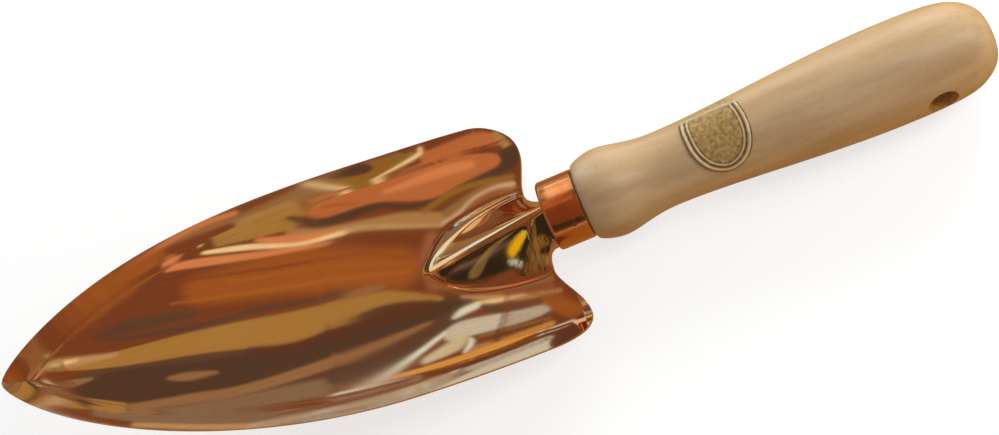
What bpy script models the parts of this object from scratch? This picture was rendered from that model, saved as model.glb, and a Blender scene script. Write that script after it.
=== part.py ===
"""Garden trowel: a pressed bronze blade, a copper ferrule and a turned beech handle.

Metres. +X runs toward the butt of the handle and +Z is up, on the hollow side of the blade.
The origin is the centre of the small flat on the butt, and every station is measured from
the front end of the ferrule: "along" runs back into the handle, "ahead" runs out over the blade.
"""

import math

import bmesh
import bpy
import numpy as np
from mathutils import Vector
from mathutils.geometry import interpolate_bezier

# Fits
FIT_GAP = 0.0003
ROUND_STEPS = 40

# Ferrule
FERRULE_LENGTH = 0.0115
FERRULE_RADIUS = 0.0110
FERRULE_WALL = 0.0012
FERRULE_LIP = 0.0010
FERRULE_EDGE = 0.0002
FERRULE_BORE = FERRULE_RADIUS - FERRULE_WALL

# Handle
GRIP_LENGTH = 0.1402
FRONT_X = -GRIP_LENGTH
SHOULDER_ALONG = FERRULE_LENGTH + FIT_GAP
SHOULDER_RADIUS = 0.01125
BULB_ALONG = 0.0204
BULB_RADIUS = 0.0140
WAIST_ALONG = 0.0386
WAIST_RADIUS = 0.0116
SWELL_ALONG = 0.1093
SWELL_RADIUS = 0.0154
HEEL_ALONG = 0.1307
HEEL_RADIUS = 0.0140
BUTT_FLAT_RADIUS = 0.0050
SPIGOT_START = 0.0058
SPIGOT_RADIUS = FERRULE_BORE - FIT_GAP
TANG_BORE = 0.0055
TANG_MOUTH = 0.0065
TANG_MOUTH_DEPTH = 0.0035
TANG_BORE_END = 0.0420

# Hang hole, straight across the handle
HANG_ALONG = 0.1198
HANG_RADIUS = 0.0039
HANG_FLARE = 0.0009

# Ferrule pin
PIN_ALONG = 0.0075
PIN_ELEVATION = math.radians(36.0)
PIN_RADIUS = 0.0008
PIN_INNER = 0.0070
PIN_SINK = 0.00005
PIN_OUTER = FERRULE_RADIUS - PIN_SINK

# Badge on the upper near side of the handle
BADGE_START = 0.0463
BADGE_END = 0.0660
BADGE_THICKNESS = 0.0003
BADGE_ELEVATION = math.radians(83.0)
BADGE_HALF_WRAP = 0.0107
BADGE_MIDDLE = 0.0563
BADGE_SIDE = 0.0015
BADGE_FLOOR = 0.0010

# Blade sheet
SHEET = 0.0015
RIM_THINNING = 0.35
TIP_AHEAD = 0.1672
WIDEST_AHEAD = 0.0518
WIDEST_HALF = 0.0414
CORNER_AHEAD = 0.0129
CORNER_HALF = 0.0405
REAR_AHEAD = 0.0000
REAR_HALF = 0.0309
NOTCH_AHEAD = 0.0050
NOTCH_HALF = 0.0141
NECK_HALF = 0.0079

# The rear edge isn't quite square: its near corner lies farther back than its far corner
REAR_SKEW = 0.0033
SKEW_AHEAD = 0.0300

# Side view of the rim: it kicks up ahead of the ridge and eases off again near the tip
RIM_DROP = -0.0017
REAR_SLOPE = 0.136
KICK_SLOPE = 0.175
KICK_AHEAD = 0.0646
EASE_SLOPE = 0.111
EASE_AHEAD = 0.1351
BEND_BLEND = 0.0140

# Whetted band along the rim and the dish inside it
BAND_WIDTH = 0.0067
BAND_SLOPE = math.tan(math.radians(25.4))
BAND_OVERRUN = 0.0040
DISH_RATIO = 0.165
DISH_POWER = 2.3
DISH_REAR_RELIEF = 0.45
DISH_RELIEF_AHEAD = 0.0700

# Ridge that rises out of the dish into the neck
RIDGE_LENGTH = 0.0410
RIDGE_HALF = 0.0134
RIDGE_FULL_AHEAD = 0.0080
RIDGE_NECK_HALF = 0.0095
RIDGE_POWER = 1.25
CREST_TIP = -0.0037
CREST_NECK = 0.0069

# Tang inside the handle
TANG_LENGTH = 0.0390
TANG_HALF = 0.0041
TANG_CREST = 0.0032
NECK_RUN = 0.0020
TANG_SHOULDER = 0.0048
TANG_DROP_START = 0.0010
TANG_DROP_END = 0.0080
COLLAR_REACH = 0.0145

# Grid of the pressed sheet, as shares of the ridge, the dish, the tang and the blade
RIDGE_COLUMNS = (0.0, 0.14, 0.4, 0.7, 1.0)
DISH_COLUMNS = (0.2, 0.4, 0.6, 0.8, 1.0)
TANG_ROWS = (1.05, 0.77, 0.46, 0.26, 0.205, 0.154, 0.115, 0.077, 0.026)
TIP_ROWS = (0.940, 0.960, 0.977, 0.990, 1.005, 1.025)
LEAST_GUIDE = 0.15


def clear_scene():
    """Removes the start-up objects and their data."""
    for obj in list(bpy.data.objects):
        bpy.data.objects.remove(obj, do_unlink=True)
    for collection in list(bpy.data.collections):
        bpy.data.collections.remove(collection)


def make_collection(name):
    collection = bpy.data.collections.new(name)
    bpy.context.scene.collection.children.link(collection)
    return collection


def make_material(name, colour, metallic, roughness):
    material = bpy.data.materials.new(name)
    material.use_nodes = True
    shader = material.node_tree.nodes["Principled BSDF"]
    shader.inputs["Base Color"].default_value = (*colour, 1.0)
    shader.inputs["Metallic"].default_value = metallic
    shader.inputs["Roughness"].default_value = roughness
    return material


def add_object(name, data, collection, material=None):
    obj = bpy.data.objects.new(name, data)
    collection.objects.link(obj)
    if material is not None:
        data.materials.append(material)
    return obj


def as_cutter(obj):
    """Keeps a helper out of the render and shows it as wire."""
    obj.hide_render = True
    obj.display_type = "WIRE"
    return obj


def lie_along_handle(obj):
    """Lays an object that was turned about Z onto the handle's axis, with Z = 0 at the ferrule's front."""
    obj.rotation_euler = (0.0, math.pi / 2, 0.0)
    obj.location = (FRONT_X, 0.0, 0.0)
    return obj


def spin(name, profile, collection, material=None, closed=False, steps=ROUND_STEPS):
    """Revolves a profile of (radius, height) points about Z. It runs down its outer side."""
    mesh = bpy.data.meshes.new(name)
    count = len(profile)
    edges = [(i, i + 1) for i in range(count - 1)]
    if closed:
        edges.append((count - 1, 0))
    mesh.from_pydata([(radius, 0.0, height) for radius, height in profile], edges, [])
    obj = add_object(name, mesh, collection, material)
    screw = obj.modifiers.new("Spin", "SCREW")
    screw.axis = "Z"
    screw.steps = steps
    screw.render_steps = steps
    screw.use_merge_vertices = True
    screw.merge_threshold = 0.00001
    return obj


def boolean(obj, cutter, operation="DIFFERENCE"):
    modifier = obj.modifiers.new(operation.title(), "BOOLEAN")
    modifier.operation = operation
    modifier.solver = "EXACT"
    modifier.object = cutter
    return modifier


def bezier_run(start, leave, arrive, end, pieces):
    """Points of one Bezier segment in a plane, without its last point.

    Its two handles are given as shares of the step from start to end.
    """
    run = end[0] - start[0]
    rise = end[1] - start[1]
    points = interpolate_bezier(
        Vector((*start, 0.0)),
        Vector((start[0] + leave[0] * run, start[1] + leave[1] * rise, 0.0)),
        Vector((start[0] + arrive[0] * run, start[1] + arrive[1] * rise, 0.0)),
        Vector((*end, 0.0)),
        pieces + 1,
    )
    return [(point.x, point.y) for point in points[:-1]]


def prism_from_outline(name, outline, low, high, collection):
    """A closed outline in XY, pulled up from Z = low to Z = high."""
    builder = bmesh.new()
    base = [builder.verts.new((x, y, low)) for x, y in outline]
    face = builder.faces.new(base)
    pulled = bmesh.ops.extrude_face_region(builder, geom=[face])
    top = [item for item in pulled["geom"] if isinstance(item, bmesh.types.BMVert)]
    bmesh.ops.translate(builder, verts=top, vec=(0.0, 0.0, high - low))
    bmesh.ops.recalc_face_normals(builder, faces=builder.faces)
    mesh = bpy.data.meshes.new(name)
    builder.to_mesh(mesh)
    builder.free()
    return as_cutter(add_object(name, mesh, collection))


def handle_outline():
    """(along, radius) points of the turned outside, from the shoulder to the butt flat."""
    shoulder = (SHOULDER_ALONG, SHOULDER_RADIUS)
    bulb = (BULB_ALONG, BULB_RADIUS)
    waist = (WAIST_ALONG, WAIST_RADIUS)
    swell = (SWELL_ALONG, SWELL_RADIUS)
    heel = (HEEL_ALONG, HEEL_RADIUS)
    butt = (GRIP_LENGTH, BUTT_FLAT_RADIUS)
    points = bezier_run(shoulder, (0.0, 0.30), (0.52, 1.0), bulb, 5)
    points += bezier_run(bulb, (0.27, 0.0), (0.51, 1.0), waist, 6)
    points += bezier_run(waist, (0.28, 0.0), (0.65, 1.0), swell, 7)
    points += bezier_run(swell, (0.42, 0.0), (0.77, 0.12), heel, 4)
    points += bezier_run(heel, (0.37, 0.091), (1.0, 0.46), butt, 6)
    return points + [butt]


def handle_radius(along):
    """Radius of the turned outside at a station."""
    outline = handle_outline()
    return float(np.interp(along, [a for a, r in outline], [r for a, r in outline]))


def build_handle(collection, cutters, material):
    profile = [(0.0, GRIP_LENGTH)]
    profile += [(radius, along) for along, radius in reversed(handle_outline())]
    profile += [
        (SPIGOT_RADIUS, SHOULDER_ALONG),
        (SPIGOT_RADIUS, SPIGOT_START),
        (TANG_MOUTH, SPIGOT_START),
        (TANG_BORE, SPIGOT_START + TANG_MOUTH_DEPTH),
        (TANG_BORE, TANG_BORE_END),
        (0.0, TANG_BORE_END + TANG_BORE / 2),
    ]
    handle = lie_along_handle(spin("handle", profile, collection, material))
    boolean(handle, build_hang_cutter(cutters))
    return handle


def build_hang_cutter(cutters):
    """A drill with a flare where it leaves each side of the handle."""
    mouth = handle_radius(HANG_ALONG)
    reach = 1.2 * mouth
    profile = [
        (0.0, reach),
        (HANG_RADIUS + HANG_FLARE, reach),
        (HANG_RADIUS + HANG_FLARE, mouth),
        (HANG_RADIUS, mouth - 2.0 * HANG_FLARE),
        (HANG_RADIUS, -mouth + 2.0 * HANG_FLARE),
        (HANG_RADIUS + HANG_FLARE, -mouth),
        (HANG_RADIUS + HANG_FLARE, -reach),
        (0.0, -reach),
    ]
    cutter = as_cutter(spin("hang_hole_cutter", profile, cutters, steps=24))
    cutter.rotation_euler = (math.pi / 2, 0.0, 0.0)
    cutter.location = (FRONT_X + HANG_ALONG, 0.0, 0.0)
    return cutter


def build_ferrule(collection, material):
    """A length of copper tube whose front edge is rolled over."""
    profile = [
        (FERRULE_RADIUS - FERRULE_EDGE, FERRULE_LENGTH),
        (FERRULE_RADIUS, FERRULE_LENGTH - FERRULE_EDGE),
    ]
    for step in range(5):
        turn = math.radians(22.5 * step)
        profile.append(
            (
                FERRULE_RADIUS - FERRULE_LIP * (1.0 - math.cos(turn)),
                FERRULE_LIP * (1.0 - math.sin(turn)),
            )
        )
    profile += [
        (FERRULE_BORE, FERRULE_EDGE),
        (FERRULE_BORE, FERRULE_LENGTH),
    ]
    return lie_along_handle(spin("ferrule", profile, collection, material, closed=True))


def pin_axis():
    """Direction of the pin, out of the handle's axis to the upper near side."""
    return Vector((0.0, -math.cos(PIN_ELEVATION), math.sin(PIN_ELEVATION)))


def point_radially(obj, along, axis):
    """Turns an object's Z onto a direction across the handle, at one station."""
    obj.rotation_euler = axis.to_track_quat("Z", "X").to_euler()
    obj.location = (FRONT_X + along, 0.0, 0.0)
    return obj


def build_pin(collection, material):
    profile = [
        (0.0, PIN_OUTER),
        (PIN_RADIUS, PIN_OUTER),
        (PIN_RADIUS, PIN_INNER + PIN_RADIUS),
        (0.0, PIN_INNER),
    ]
    pin = spin("ferrule_pin", profile, collection, material, steps=12)
    return point_radially(pin, PIN_ALONG, pin_axis())


def build_pin_cutter(cutters):
    """The pin's hole, one fit gap larger all round."""
    radius = PIN_RADIUS + FIT_GAP
    inner = PIN_INNER - FIT_GAP
    outer = 1.2 * FERRULE_RADIUS
    profile = [(0.0, outer), (radius, outer), (radius, inner), (0.0, inner)]
    cutter = as_cutter(spin("pin_hole_cutter", profile, cutters, steps=12))
    return point_radially(cutter, PIN_ALONG, pin_axis())


def rim_curve():
    """(ahead, half width) points of one side of the blade, from the tip to the rear corner."""
    tip = (TIP_AHEAD, 0.0)
    widest = (WIDEST_AHEAD, WIDEST_HALF)
    corner = (CORNER_AHEAD, CORNER_HALF)
    points = bezier_run(tip, (0.0, 0.145), (0.32, 1.0), widest, 22)
    points += bezier_run(widest, (0.51, 0.0), (0.79, 0.45), corner, 4)
    return points + [corner]


RIM = sorted(rim_curve())
RIM_AHEAD = [ahead for ahead, half in RIM]
RIM_HALF = [half for ahead, half in RIM]


def half_width(ahead):
    """Half width of the blade between its rim lines, held level behind the rear corner."""
    return float(np.interp(ahead, RIM_AHEAD, RIM_HALF))


def rim_lean(ahead):
    """Cosine of the angle between the rim line and the blade's axis."""
    step = TIP_AHEAD / 320.0
    slope = (half_width(ahead + step) - half_width(ahead - step)) / (2.0 * step)
    return 1.0 / math.sqrt(1.0 + slope * slope)


def crease_half(ahead):
    """Half width between the two creases inside the whetted band."""
    return max(0.0, half_width(ahead) - BAND_WIDTH / rim_lean(ahead))


def smooth(value):
    """A soft step from 0 to 1."""
    value = min(1.0, max(0.0, value))
    return value * value * (3.0 - 2.0 * value)


def bend(ahead, start):
    """Run past a soft bend: 0 well behind its start and the distance from it well ahead."""
    return BEND_BLEND * math.log1p(math.exp((ahead - start) / BEND_BLEND))


def rim_height(ahead):
    """Height of the rim above the handle's axis."""
    kick = KICK_SLOPE * bend(ahead, KICK_AHEAD) - EASE_SLOPE * bend(ahead, EASE_AHEAD)
    return RIM_DROP + REAR_SLOPE * ahead + kick


def dish_depth(ahead):
    """Depth of the dish below its creases."""
    relief = DISH_REAR_RELIEF * smooth(1.0 - ahead / DISH_RELIEF_AHEAD)
    return DISH_RATIO * crease_half(ahead) * (1.0 - relief)


def dish_height(ahead, across):
    """Height of the dish and of the band round it, without the ridge."""
    crease = crease_half(ahead)
    inset = (half_width(ahead) - abs(across)) * rim_lean(ahead)
    height = rim_height(ahead) - BAND_SLOPE * min(inset, BAND_WIDTH)
    if crease > 0.0 and abs(across) < crease:
        share = abs(across) / crease
        height -= dish_depth(ahead) * (1.0 - share**DISH_POWER)
    return height


def ridge_half(ahead):
    """Half width of the ridge's foot."""
    if ahead >= RIDGE_LENGTH:
        return 0.0
    if ahead > RIDGE_FULL_AHEAD:
        share = (ahead - RIDGE_FULL_AHEAD) / (RIDGE_LENGTH - RIDGE_FULL_AHEAD)
        return RIDGE_HALF * math.sqrt(1.0 - share * share)
    return RIDGE_NECK_HALF + (RIDGE_HALF - RIDGE_NECK_HALF) * smooth(ahead / RIDGE_FULL_AHEAD)


def crest_height(ahead):
    """Height of the ridge's crest, which drops again along the tang."""
    rise = CREST_NECK + (CREST_TIP - CREST_NECK) * max(0.0, ahead) / RIDGE_LENGTH
    drop = smooth((-ahead - TANG_DROP_START) / (TANG_DROP_END - TANG_DROP_START))
    return rise + (TANG_CREST - CREST_NECK) * drop


def sheet_height(ahead, across):
    """Height of the pressed sheet's upper face. The tang keeps the level of the neck."""
    level = max(0.0, ahead)
    foot = ridge_half(ahead)
    if abs(across) >= foot:
        return dish_height(level, across)
    share = (abs(across) / foot) ** RIDGE_POWER
    crest = crest_height(ahead)
    return crest + (dish_height(level, foot) - crest) * share


def sheet_columns(ahead):
    """Positions across the sheet, from its middle out past the rim."""
    crease = crease_half(ahead)
    guide = min(crease, max(ridge_half(ahead), LEAST_GUIDE * crease))
    columns = [share * guide for share in RIDGE_COLUMNS]
    columns += [guide + share * (crease - guide) for share in DISH_COLUMNS]
    return columns + [half_width(ahead) + BAND_OVERRUN]


def sheet_rows():
    """Stations of the grid, from behind the tang to ahead of the tip."""
    tang = [-share * TANG_LENGTH for share in TANG_ROWS]
    ridge = [(0.4 + step) / 16.4 * RIDGE_LENGTH for step in range(18)]
    first = ridge[-1]
    last = TIP_ROWS[0] * TIP_AHEAD
    dish = [first + (last - first) * step / 19.0 for step in range(1, 19)]
    tip = [share * TIP_AHEAD for share in TIP_ROWS]
    return tang + ridge + dish + tip


def build_sheet():
    """The pressed sheet's upper face as a grid, with a vertex group that thins its rim."""
    builder = bmesh.new()
    weights = builder.verts.layers.deform.verify()
    lines = []
    for ahead in sheet_rows():
        columns = sheet_columns(ahead)
        line = []
        for index in range(1 - len(columns), len(columns)):
            across = math.copysign(columns[abs(index)], index)
            point = (FRONT_X - ahead, across, sheet_height(ahead, across))
            vertex = builder.verts.new(point)
            outside = abs(index) == len(columns) - 1
            vertex[weights][0] = RIM_THINNING if outside else 1.0
            line.append(vertex)
        lines.append(line)
    for near, far in zip(lines, lines[1:]):
        for left in range(len(near) - 1):
            builder.faces.new((near[left], near[left + 1], far[left + 1], far[left]))
    bmesh.ops.remove_doubles(builder, verts=builder.verts, dist=0.00001)
    bmesh.ops.recalc_face_normals(builder, faces=builder.faces)
    if sum(face.normal.z for face in builder.faces) < 0.0:
        bmesh.ops.reverse_faces(builder, faces=builder.faces)
    mesh = bpy.data.meshes.new("blade")
    builder.to_mesh(mesh)
    builder.free()
    return mesh


def rear_skew(ahead, across):
    """How far ahead a point of the outline is moved. The near side has negative across."""
    fade = min(1.0, max(0.0, (SKEW_AHEAD - ahead) / (SKEW_AHEAD - NOTCH_AHEAD)))
    share = max(0.0, abs(across) - NECK_HALF) / (CORNER_HALF - NECK_HALF)
    return math.copysign(REAR_SKEW * fade * share, across)


def blank_outline():
    """The flat blank: both sides, the rear edges, the notches, the neck and the tang."""
    corner = (CORNER_AHEAD, CORNER_HALF)
    rear = (REAR_AHEAD, REAR_HALF)
    notch = (NOTCH_AHEAD, NOTCH_HALF)
    neck = (FIT_GAP, NECK_HALF)
    half = rim_curve()[:-1]
    half += bezier_run(corner, (0.47, 0.05), (1.0, 0.375), rear, 6)
    half += bezier_run(rear, (0.0, 0.36), (1.0, 0.70), notch, 5)
    half += bezier_run(notch, (0.0, 0.56), (0.36, 1.0), neck, 4)
    half += [
        neck,
        (-NECK_RUN, NECK_HALF),
        (-TANG_SHOULDER, TANG_HALF),
        (-TANG_LENGTH + TANG_HALF, TANG_HALF),
        (-TANG_LENGTH, TANG_HALF / 2),
    ]
    whole = half + [(ahead, -across) for ahead, across in reversed(half) if across > 0.0]
    return [(FRONT_X - ahead - rear_skew(ahead, across), across) for ahead, across in whole]


def build_blade(collection, cutters, material):
    """Presses the sheet, gives it its thickness and trims it to the blank's outline."""
    blade = add_object("blade", build_sheet(), collection, material)
    blade.vertex_groups.new(name="rim")
    solid = blade.modifiers.new("Sheet", "SOLIDIFY")
    solid.thickness = SHEET
    solid.offset = -1.0
    solid.use_even_offset = True
    solid.vertex_group = "rim"
    half = TIP_AHEAD / 2
    blank = prism_from_outline("blank_guide", blank_outline(), -half, half, cutters)
    boolean(blade, blank, "INTERSECT")
    boolean(blade, build_neck_collar(cutters))
    return blade


def build_neck_collar(cutters):
    """Trims the neck to the ferrule's bore where it goes inside."""
    inner = FERRULE_BORE - FIT_GAP
    back = SPIGOT_START + TANG_MOUTH_DEPTH
    profile = [(COLLAR_REACH, back), (COLLAR_REACH, -FIT_GAP), (inner, -FIT_GAP), (inner, back)]
    collar = spin("neck_collar_cutter", profile, cutters, closed=True)
    return as_cutter(lie_along_handle(collar))


def build_badge(collection, cutters, material):
    """A thin plate bent round the handle: a turned shell cut to the plate's outline."""
    steps = 7
    run = BADGE_END - BADGE_START
    stations = [BADGE_START + run * (1.1 * step / steps - 0.05) for step in range(steps + 1)]
    inner = [(handle_radius(station) + FIT_GAP, station) for station in stations]
    outer = [(radius + BADGE_THICKNESS, station) for radius, station in reversed(inner)]
    badge = spin("badge", outer + inner, collection, material, closed=True, steps=56)
    lie_along_handle(badge)
    boolean(badge, build_badge_guide(cutters), "INTERSECT")
    return badge


def build_badge_guide(cutters):
    """The plate's outline: straight over the top, rounded toward the near side."""
    left = (BADGE_START, BADGE_SIDE)
    bottom = (BADGE_MIDDLE, -BADGE_HALF_WRAP)
    right = (BADGE_END, BADGE_SIDE)
    run = BADGE_END - BADGE_START
    outline = bezier_run(left, (0.0, 0.57), (0.50, 1.0), bottom, 7)
    outline += bezier_run(bottom, (0.53, 0.0), (1.0, 0.39), right, 7)
    outline += [
        right,
        (BADGE_END - 0.04 * run, BADGE_HALF_WRAP),
        (BADGE_START + 0.10 * run, BADGE_HALF_WRAP),
    ]
    guide = prism_from_outline("badge_guide", outline, BADGE_FLOOR, 1.5 * BULB_RADIUS, cutters)
    guide.rotation_euler = (BADGE_ELEVATION - math.pi / 2, 0.0, 0.0)
    guide.location = (FRONT_X, 0.0, 0.0)
    return guide


def main():
    clear_scene()
    trowel = make_collection("garden_trowel")
    cutters = make_collection("cutters")
    bronze = make_material("polished_bronze", (0.72, 0.36, 0.17), 1.0, 0.12)
    copper = make_material("copper_tube", (0.75, 0.33, 0.18), 1.0, 0.30)
    beech = make_material("oiled_beech", (0.62, 0.42, 0.25), 0.0, 0.50)
    brass = make_material("brass_foil", (0.72, 0.62, 0.38), 1.0, 0.35)
    iron = make_material("pin_iron", (0.16, 0.09, 0.05), 1.0, 0.55)
    pin_hole = build_pin_cutter(cutters)
    build_blade(trowel, cutters, bronze)
    handle = build_handle(trowel, cutters, beech)
    boolean(handle, pin_hole)
    ferrule = build_ferrule(trowel, copper)
    boolean(ferrule, pin_hole)
    build_pin(trowel, iron)
    build_badge(trowel, cutters, brass)


main()
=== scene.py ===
"""Looks of the garden trowel: mirror-polished bronze blade, copper ferrule and a beech handle.

Everything is in metres in the CAD frame, unless a comment says otherwise. "ahead" is measured from
the ferrule's front out over the blade, and "along" from there back into the handle.
"""

import math

import bmesh
import bpy
import numpy as np
from mathutils import Matrix, Vector, noise


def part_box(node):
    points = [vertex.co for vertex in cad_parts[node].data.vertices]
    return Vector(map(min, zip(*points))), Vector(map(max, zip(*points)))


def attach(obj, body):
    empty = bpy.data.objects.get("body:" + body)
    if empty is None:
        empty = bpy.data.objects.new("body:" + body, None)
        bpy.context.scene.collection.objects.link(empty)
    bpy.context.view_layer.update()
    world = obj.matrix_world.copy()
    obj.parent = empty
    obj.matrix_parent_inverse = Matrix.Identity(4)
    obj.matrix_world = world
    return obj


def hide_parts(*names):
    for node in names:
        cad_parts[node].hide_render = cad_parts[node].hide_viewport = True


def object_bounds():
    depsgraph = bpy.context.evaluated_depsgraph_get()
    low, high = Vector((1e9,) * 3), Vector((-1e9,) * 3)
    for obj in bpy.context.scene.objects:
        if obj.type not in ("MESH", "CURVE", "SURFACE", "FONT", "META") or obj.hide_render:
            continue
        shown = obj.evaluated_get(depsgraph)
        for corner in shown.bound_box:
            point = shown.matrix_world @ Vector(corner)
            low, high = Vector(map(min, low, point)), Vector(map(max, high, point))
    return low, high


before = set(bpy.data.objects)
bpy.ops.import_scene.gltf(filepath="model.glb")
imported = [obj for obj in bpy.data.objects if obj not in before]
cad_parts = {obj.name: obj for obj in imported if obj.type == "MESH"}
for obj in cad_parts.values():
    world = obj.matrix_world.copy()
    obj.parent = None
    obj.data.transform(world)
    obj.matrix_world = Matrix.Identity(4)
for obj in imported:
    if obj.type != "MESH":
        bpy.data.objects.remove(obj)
CAD_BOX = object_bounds()

# Stations of the CAD part
FRONT_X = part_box("ferrule")[0].x
FERRULE_LENGTH = 0.0115
FERRULE_RADIUS = 0.0110
PIN_ALONG = 0.0075
PIN_ELEVATION = math.radians(36.0)

BUMP_DEPTH = 0.0001


# Materials

def new_material(name, metallic, roughness):
    material = bpy.data.materials.new(name)
    material.use_nodes = True
    tree = material.node_tree
    shader = tree.nodes["Principled BSDF"]
    shader.inputs["Metallic"].default_value = metallic
    shader.inputs["Roughness"].default_value = roughness
    return material, tree.nodes, tree.links, shader


def colour_ramp(nodes, stops):
    """A ramp of (position, colour) stops."""
    ramp = nodes.new("ShaderNodeValToRGB")
    first, last = ramp.color_ramp.elements
    first.position, first.color = stops[0][0], (*stops[0][1], 1.0)
    last.position, last.color = stops[-1][0], (*stops[-1][1], 1.0)
    for position, colour in stops[1:-1]:
        ramp.color_ramp.elements.new(position).color = (*colour, 1.0)
    return ramp


def textured(nodes, links, scale, detail, stops, stretch=(1.0, 1.0, 1.0)):
    """Noise over the object's own coordinates, and the ramp of colours that it runs through."""
    coords = nodes.new("ShaderNodeTexCoord")
    mapping = nodes.new("ShaderNodeMapping")
    mapping.inputs["Scale"].default_value = stretch
    pattern = nodes.new("ShaderNodeTexNoise")
    pattern.inputs["Scale"].default_value = scale
    pattern.inputs["Detail"].default_value = detail
    links.new(coords.outputs["Object"], mapping.inputs["Vector"])
    links.new(mapping.outputs["Vector"], pattern.inputs["Vector"])
    ramp = colour_ramp(nodes, stops)
    links.new(pattern.outputs["Fac"], ramp.inputs["Fac"])
    return pattern, ramp


def multiplied(nodes, links, base, tint, factor):
    """The base colour, darkened by the tint."""
    mix = nodes.new("ShaderNodeMix")
    mix.data_type = "RGBA"
    mix.blend_type = "MULTIPLY"
    mix.inputs["Factor"].default_value = factor
    links.new(base.outputs["Color"], mix.inputs["A"])
    links.new(tint.outputs["Color"], mix.inputs["B"])
    return mix.outputs["Result"]


def add_bump(nodes, links, shader, pattern, strength):
    bump = nodes.new("ShaderNodeBump")
    bump.inputs["Strength"].default_value = strength
    bump.inputs["Distance"].default_value = BUMP_DEPTH
    links.new(pattern.outputs["Fac"], bump.inputs["Height"])
    links.new(bump.outputs["Normal"], shader.inputs["Normal"])


def bronze_material():
    """Mirror-polished bronze, with a faint drift of its colour."""
    material, nodes, links, shader = new_material("polished_bronze", 1.0, 0.04)
    drift = ((0.3, (0.74, 0.39, 0.20)), (0.7, (0.78, 0.43, 0.22)))
    _, ramp = textured(nodes, links, 30.0, 3.0, drift)
    links.new(ramp.outputs["Color"], shader.inputs["Base Color"])
    return material


def copper_material():
    """Satin copper, with marks that run round the tube."""
    material, nodes, links, shader = new_material("satin_copper", 1.0, 0.20)
    marks = ((0.3, (0.70, 0.25, 0.090)), (0.7, (0.80, 0.32, 0.125)))
    pattern, ramp = textured(nodes, links, 260.0, 4.0, marks, (1.0, 0.35, 0.35))
    links.new(ramp.outputs["Color"], shader.inputs["Base Color"])
    add_bump(nodes, links, shader, pattern, 0.03)
    return material


def beech_material():
    """Oiled beech: soft lengthwise figure, with fine short flecks."""
    material, nodes, links, shader = new_material("beech", 0.0, 0.42)
    shader.inputs["Coat Weight"].default_value = 1.0
    shader.inputs["Coat Roughness"].default_value = 0.36
    figure = (
        (0.30, (0.40, 0.256, 0.120)),
        (0.55, (0.47, 0.322, 0.163)),
        (0.75, (0.51, 0.360, 0.195)),
    )
    flecks = ((0.60, (1.0, 1.0, 1.0)), (0.72, (0.80, 0.74, 0.66)))
    soft, body = textured(nodes, links, 1.0, 5.0, figure, (28.0, 230.0, 230.0))
    _, specks = textured(nodes, links, 1.0, 2.0, flecks, (420.0, 2600.0, 2600.0))
    links.new(multiplied(nodes, links, body, specks, 0.8), shader.inputs["Base Color"])
    add_bump(nodes, links, shader, soft, 0.15)
    return material


def shaded_bore_material():
    """Dull wood inside the hang hole, with painted shade: darker and more orange than the handle.
    """
    material, nodes, links, shader = new_material("beech_bore_painted_shade", 0.0, 0.8)
    # Painted shade of the hole's inside, in these darker tones
    shades = ((0.35, (0.28, 0.110, 0.014)), (0.65, (0.43, 0.180, 0.028)))
    _, ramp = textured(nodes, links, 900.0, 3.0, shades)
    links.new(ramp.outputs["Color"], shader.inputs["Base Color"])
    return material


def foil_material():
    """Embossed foil: dull brown in the grooves, gold on the field, and a painted silvery highlight
    on the raised lines.
    """
    material, nodes, links, shader = new_material("embossed_foil", 0.5, 0.28)
    relief = nodes.new("ShaderNodeAttribute")
    relief.attribute_name = "relief"
    # Colour by height: brown patina in the grooves, gold field, painted silvery highlight on the
    # raised lines
    patina_and_highlight = colour_ramp(nodes, (
        (0.05, (0.22, 0.140, 0.055)),
        (0.35, (0.60, 0.45, 0.19)),
        (0.85, (0.82, 0.74, 0.60)),
    ))
    links.new(relief.outputs["Fac"], patina_and_highlight.inputs["Fac"])
    stains = ((0.35, (0.80, 0.72, 0.55)), (0.70, (1.0, 1.0, 1.0)))
    _, stain = textured(nodes, links, 420.0, 4.0, stains)
    links.new(multiplied(nodes, links, patina_and_highlight, stain, 0.7), shader.inputs["Base Color"])
    return material


def iron_material():
    """Dull brown nail end."""
    material, nodes, links, shader = new_material("pin_end", 1.0, 0.45)
    shades = ((0.35, (0.20, 0.075, 0.030)), (0.65, (0.34, 0.13, 0.050)))
    _, ramp = textured(nodes, links, 1500.0, 3.0, shades)
    links.new(ramp.outputs["Color"], shader.inputs["Base Color"])
    return material


# Blade surface, the same form as the CAD sheet

# Plan
TIP_AHEAD = 0.1672
WIDEST_AHEAD = 0.0518
WIDEST_HALF = 0.0414
CORNER_AHEAD = 0.0129
CORNER_HALF = 0.0405
REAR_AHEAD = 0.0000
REAR_HALF = 0.0309
NOTCH_AHEAD = 0.0050
NOTCH_HALF = 0.0141
NECK_HALF = 0.0079
NECK_AHEAD = 0.0003
NECK_END = 0.0045
REAR_SKEW = 0.0033
SKEW_AHEAD = 0.0300

# Rim, whetted band and dish
RIM_AT_REAR = -0.0017
RIM_RISE = 0.136
RIM_BENDS = ((0.175, 0.0646), (-0.111, 0.1351))
RIM_BEND_LENGTH = 0.014
BAND_WIDTH = 0.0067
BAND_SLOPE = math.tan(math.radians(25.4))
BAND_CURL = 0.08
CREASE_RADIUS = 0.0006
DISH_RATIO = 0.155
DISH_SQUARE = 0.85
DISH_FOURTH = 0.15
DISH_REAR_RELIEF = 0.52
DISH_RELIEF_AHEAD = 0.075
DISH_RELIEF_POWER = 1.6

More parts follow.
